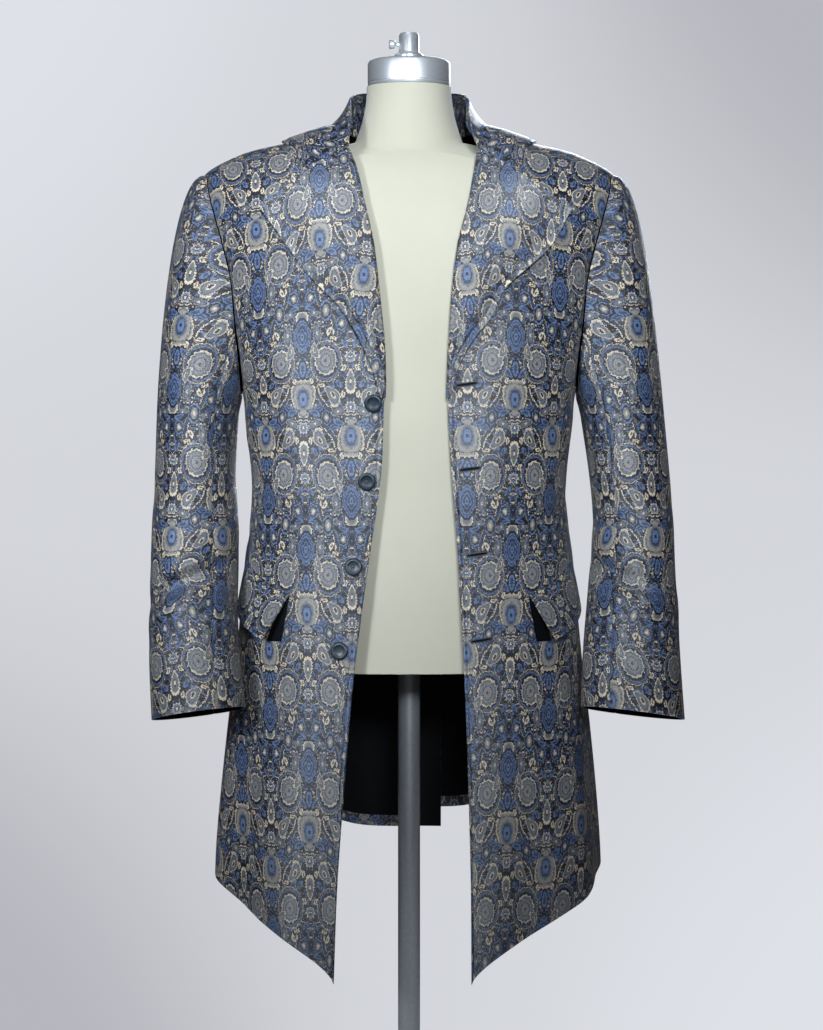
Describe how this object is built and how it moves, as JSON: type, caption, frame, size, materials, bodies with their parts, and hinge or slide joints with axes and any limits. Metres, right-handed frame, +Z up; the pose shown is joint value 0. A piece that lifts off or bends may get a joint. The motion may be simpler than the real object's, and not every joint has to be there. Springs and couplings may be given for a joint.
{
  "type": "frock coat on dress form",
  "caption": "Long paisley jacquard frock coat, worn open with notched lapels, a turned-down collar and slanted pocket flaps, on a limbless dress form with a pole stand.",
  "frame": {"origin": "middle of the round base's underside", "axes": "+Z up, the coat faces -Y, and the wearer's left is +X"},
  "size_m": [0.5917, 0.38, 1.5975],
  "materials": {
    "paisley_jacquard": "satin-faced jacquard, slate blue, periwinkle and cream paisleys on near black",
    "black_lining": "smooth black lining satin",
    "dark_horn": "polished dark blue-black horn look",
    "cream_jersey": "cream cotton jersey, matte",
    "brushed_metal": "brushed and polished steel",
    "grey_paint": "satin grey paint on a cast base"
  },
  "bodies": {
    "root": {"front_right": "paisley_jacquard", "front_left": "paisley_jacquard", "back_right": "paisley_jacquard", "back_left": "paisley_jacquard", "vent_underlap": "paisley_jacquard", "sleeve_upper_right": "paisley_jacquard", "sleeve_upper_left": "paisley_jacquard", "sleeve_under_right": "paisley_jacquard", "sleeve_under_left": "paisley_jacquard", "collar_stand": "paisley_jacquard", "collar_fall": "paisley_jacquard", "lapel_right": "paisley_jacquard", "lapel_left": "paisley_jacquard", "pocket_flap_right": "paisley_jacquard", "pocket_flap_left": "paisley_jacquard", "skirt_lining_right": "black_lining", "skirt_lining_left": "black_lining", "button_1": "dark_horn", "button_2": "dark_horn", "button_3": "dark_horn", "button_4": "dark_horn", "form_torso": "cream_jersey", "form_neck_cap": "brushed_metal", "form_socket": "brushed_metal", "form_clamp_screw": "brushed_metal", "stand_pole": "brushed_metal", "stand_base": "grey_paint"}
  },
  "joints": []
}
